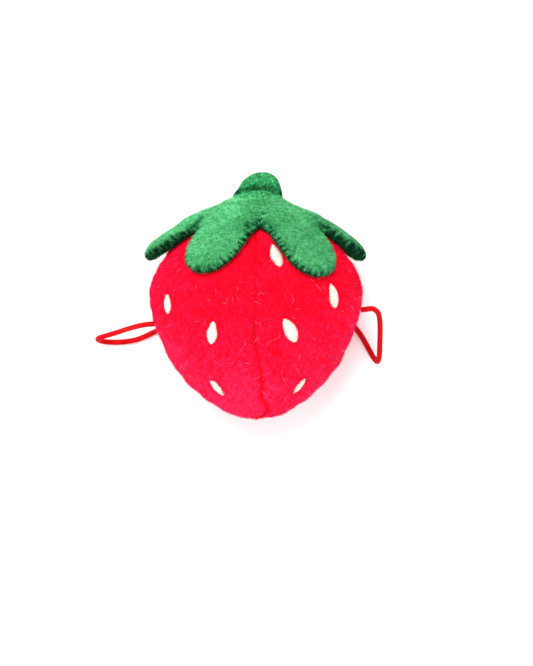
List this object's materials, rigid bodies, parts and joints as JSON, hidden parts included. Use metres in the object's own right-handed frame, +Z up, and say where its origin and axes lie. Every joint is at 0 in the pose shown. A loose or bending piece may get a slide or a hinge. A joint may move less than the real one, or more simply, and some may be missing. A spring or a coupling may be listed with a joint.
{
  "type": "strawberry wrist pincushion",
  "caption": "Soft strawberry-shaped pincushion with sewn plush gores, embroidered seeds, liftable calyx leaves, a stuffed stem and a round elastic wrist strap.",
  "frame": {"origin": "on the table under the middle of the berry, which lies on its flattened back", "axes": "+Z up, out of the berry's front; +Y towards the stem, along the berry's axis; +X to the viewer's right"},
  "size_m": [0.0986, 0.0836, 0.0508],
  "materials": {
    "red_plush": "short dense pile, strawberry red",
    "seed_embroidery": "satin stitch in off-white thread",
    "seam_thread": "dark red sewing thread",
    "stuffing": "polyester fibre",
    "guard_plastic": "thin translucent-white sheet",
    "elastic": "satiny braided round elastic",
    "green_thread": "dark green thread",
    "green_plush": "short dense pile, leaf green",
    "green_plush_under": "short dense pile, leaf green, in shade"
  },
  "bodies": {
    "berry": {"calyx_hub_under": "green_plush_under", "calyx_hub_upper": "green_plush", "calyx_tie_thread": "green_thread", "elastic_end_left": "elastic", "elastic_end_right": "elastic", "guard_disc": "guard_plastic", "panel_back_left": "red_plush", "panel_back_right": "red_plush", "panel_front_left": "red_plush", "panel_front_right": "red_plush", "seam_thread_back": "seam_thread", "seam_thread_front": "seam_thread", "seam_thread_left_lower": "seam_thread", "seam_thread_left_upper": "seam_thread", "seam_thread_right_lower": "seam_thread", "seam_thread_right_upper": "seam_thread", "seed_back_left_1": "seed_embroidery", "seed_back_left_2": "seed_embroidery", "seed_back_left_3": "seed_embroidery", "seed_back_left_4": "seed_embroidery", "seed_back_right_1": "seed_embroidery", "seed_back_right_2": "seed_embroidery", "seed_back_right_3": "seed_embroidery", "seed_back_right_4": "seed_embroidery", "seed_front_left_1": "seed_embroidery", "seed_front_left_2": "seed_embroidery", "seed_front_left_3": "seed_embroidery", "seed_front_left_4": "seed_embroidery", "seed_front_right_1": "seed_embroidery", "seed_front_right_2": "seed_embroidery", "seed_front_right_3": "seed_embroidery", "seed_front_right_4": "seed_embroidery", "stem_cover": "green_plush", "stem_stitching": "green_thread", "stem_stuffing": "stuffing", "stuffing_core": "stuffing", "wrist_elastic": "elastic"},
    "leaf_front_left": {"leaf_front_left_under": "green_plush_under", "leaf_front_left_upper": "green_plush"},
    "leaf_front_right": {"leaf_front_right_under": "green_plush_under", "leaf_front_right_upper": "green_plush"},
    "leaf_side_right": {"leaf_side_right_under": "green_plush_under", "leaf_side_right_upper": "green_plush"},
    "leaf_back_right": {"leaf_back_right_under": "green_plush_under", "leaf_back_right_upper": "green_plush"},
    "leaf_back_left": {"leaf_back_left_under": "green_plush_under", "leaf_back_left_upper": "green_plush"},
    "leaf_side_left": {"leaf_side_left_under": "green_plush_under", "leaf_side_left_upper": "green_plush"}
  },
  "joints": [
    {"name": "leaf_front_left_fold", "type": "hinge", "parent": "berry", "child": "leaf_front_left", "pos_m": [-0.00773, 0.02765, 0.03711], "axis": [-0.9725, -0.0759, -0.2203], "range_deg": [0, 70], "stiffness_Nm_per_rad": 0.002},
    {"name": "leaf_front_right_fold", "type": "hinge", "parent": "berry", "child": "leaf_front_right", "pos_m": [0.01012, 0.02764, 0.03628], "axis": [-0.9444, 0.0913, 0.3159], "range_deg": [0, 70], "stiffness_Nm_per_rad": 0.002},
    {"name": "leaf_side_right_fold", "type": "hinge", "parent": "berry", "child": "leaf_side_right", "pos_m": [0.01919, 0.02772, 0.02187], "axis": [0.1161, -0.0177, 0.9931], "range_deg": [-2, 70], "stiffness_Nm_per_rad": 0.002},
    {"name": "leaf_back_right_fold", "type": "hinge", "parent": "berry", "child": "leaf_back_right", "pos_m": [0.00773, 0.02765, 0.00889], "axis": [0.9725, -0.0759, 0.2203], "range_deg": [0, 70], "stiffness_Nm_per_rad": 0.002},
    {"name": "leaf_back_left_fold", "type": "hinge", "parent": "berry", "child": "leaf_back_left", "pos_m": [-0.01012, 0.02764, 0.00972], "axis": [0.9444, 0.0913, -0.3159], "range_deg": [0, 70], "stiffness_Nm_per_rad": 0.002},
    {"name": "leaf_side_left_fold", "type": "hinge", "parent": "berry", "child": "leaf_side_left", "pos_m": [-0.01919, 0.02772, 0.02413], "axis": [-0.1161, -0.0177, -0.9931], "range_deg": [-2, 70], "stiffness_Nm_per_rad": 0.002}
  ]
}
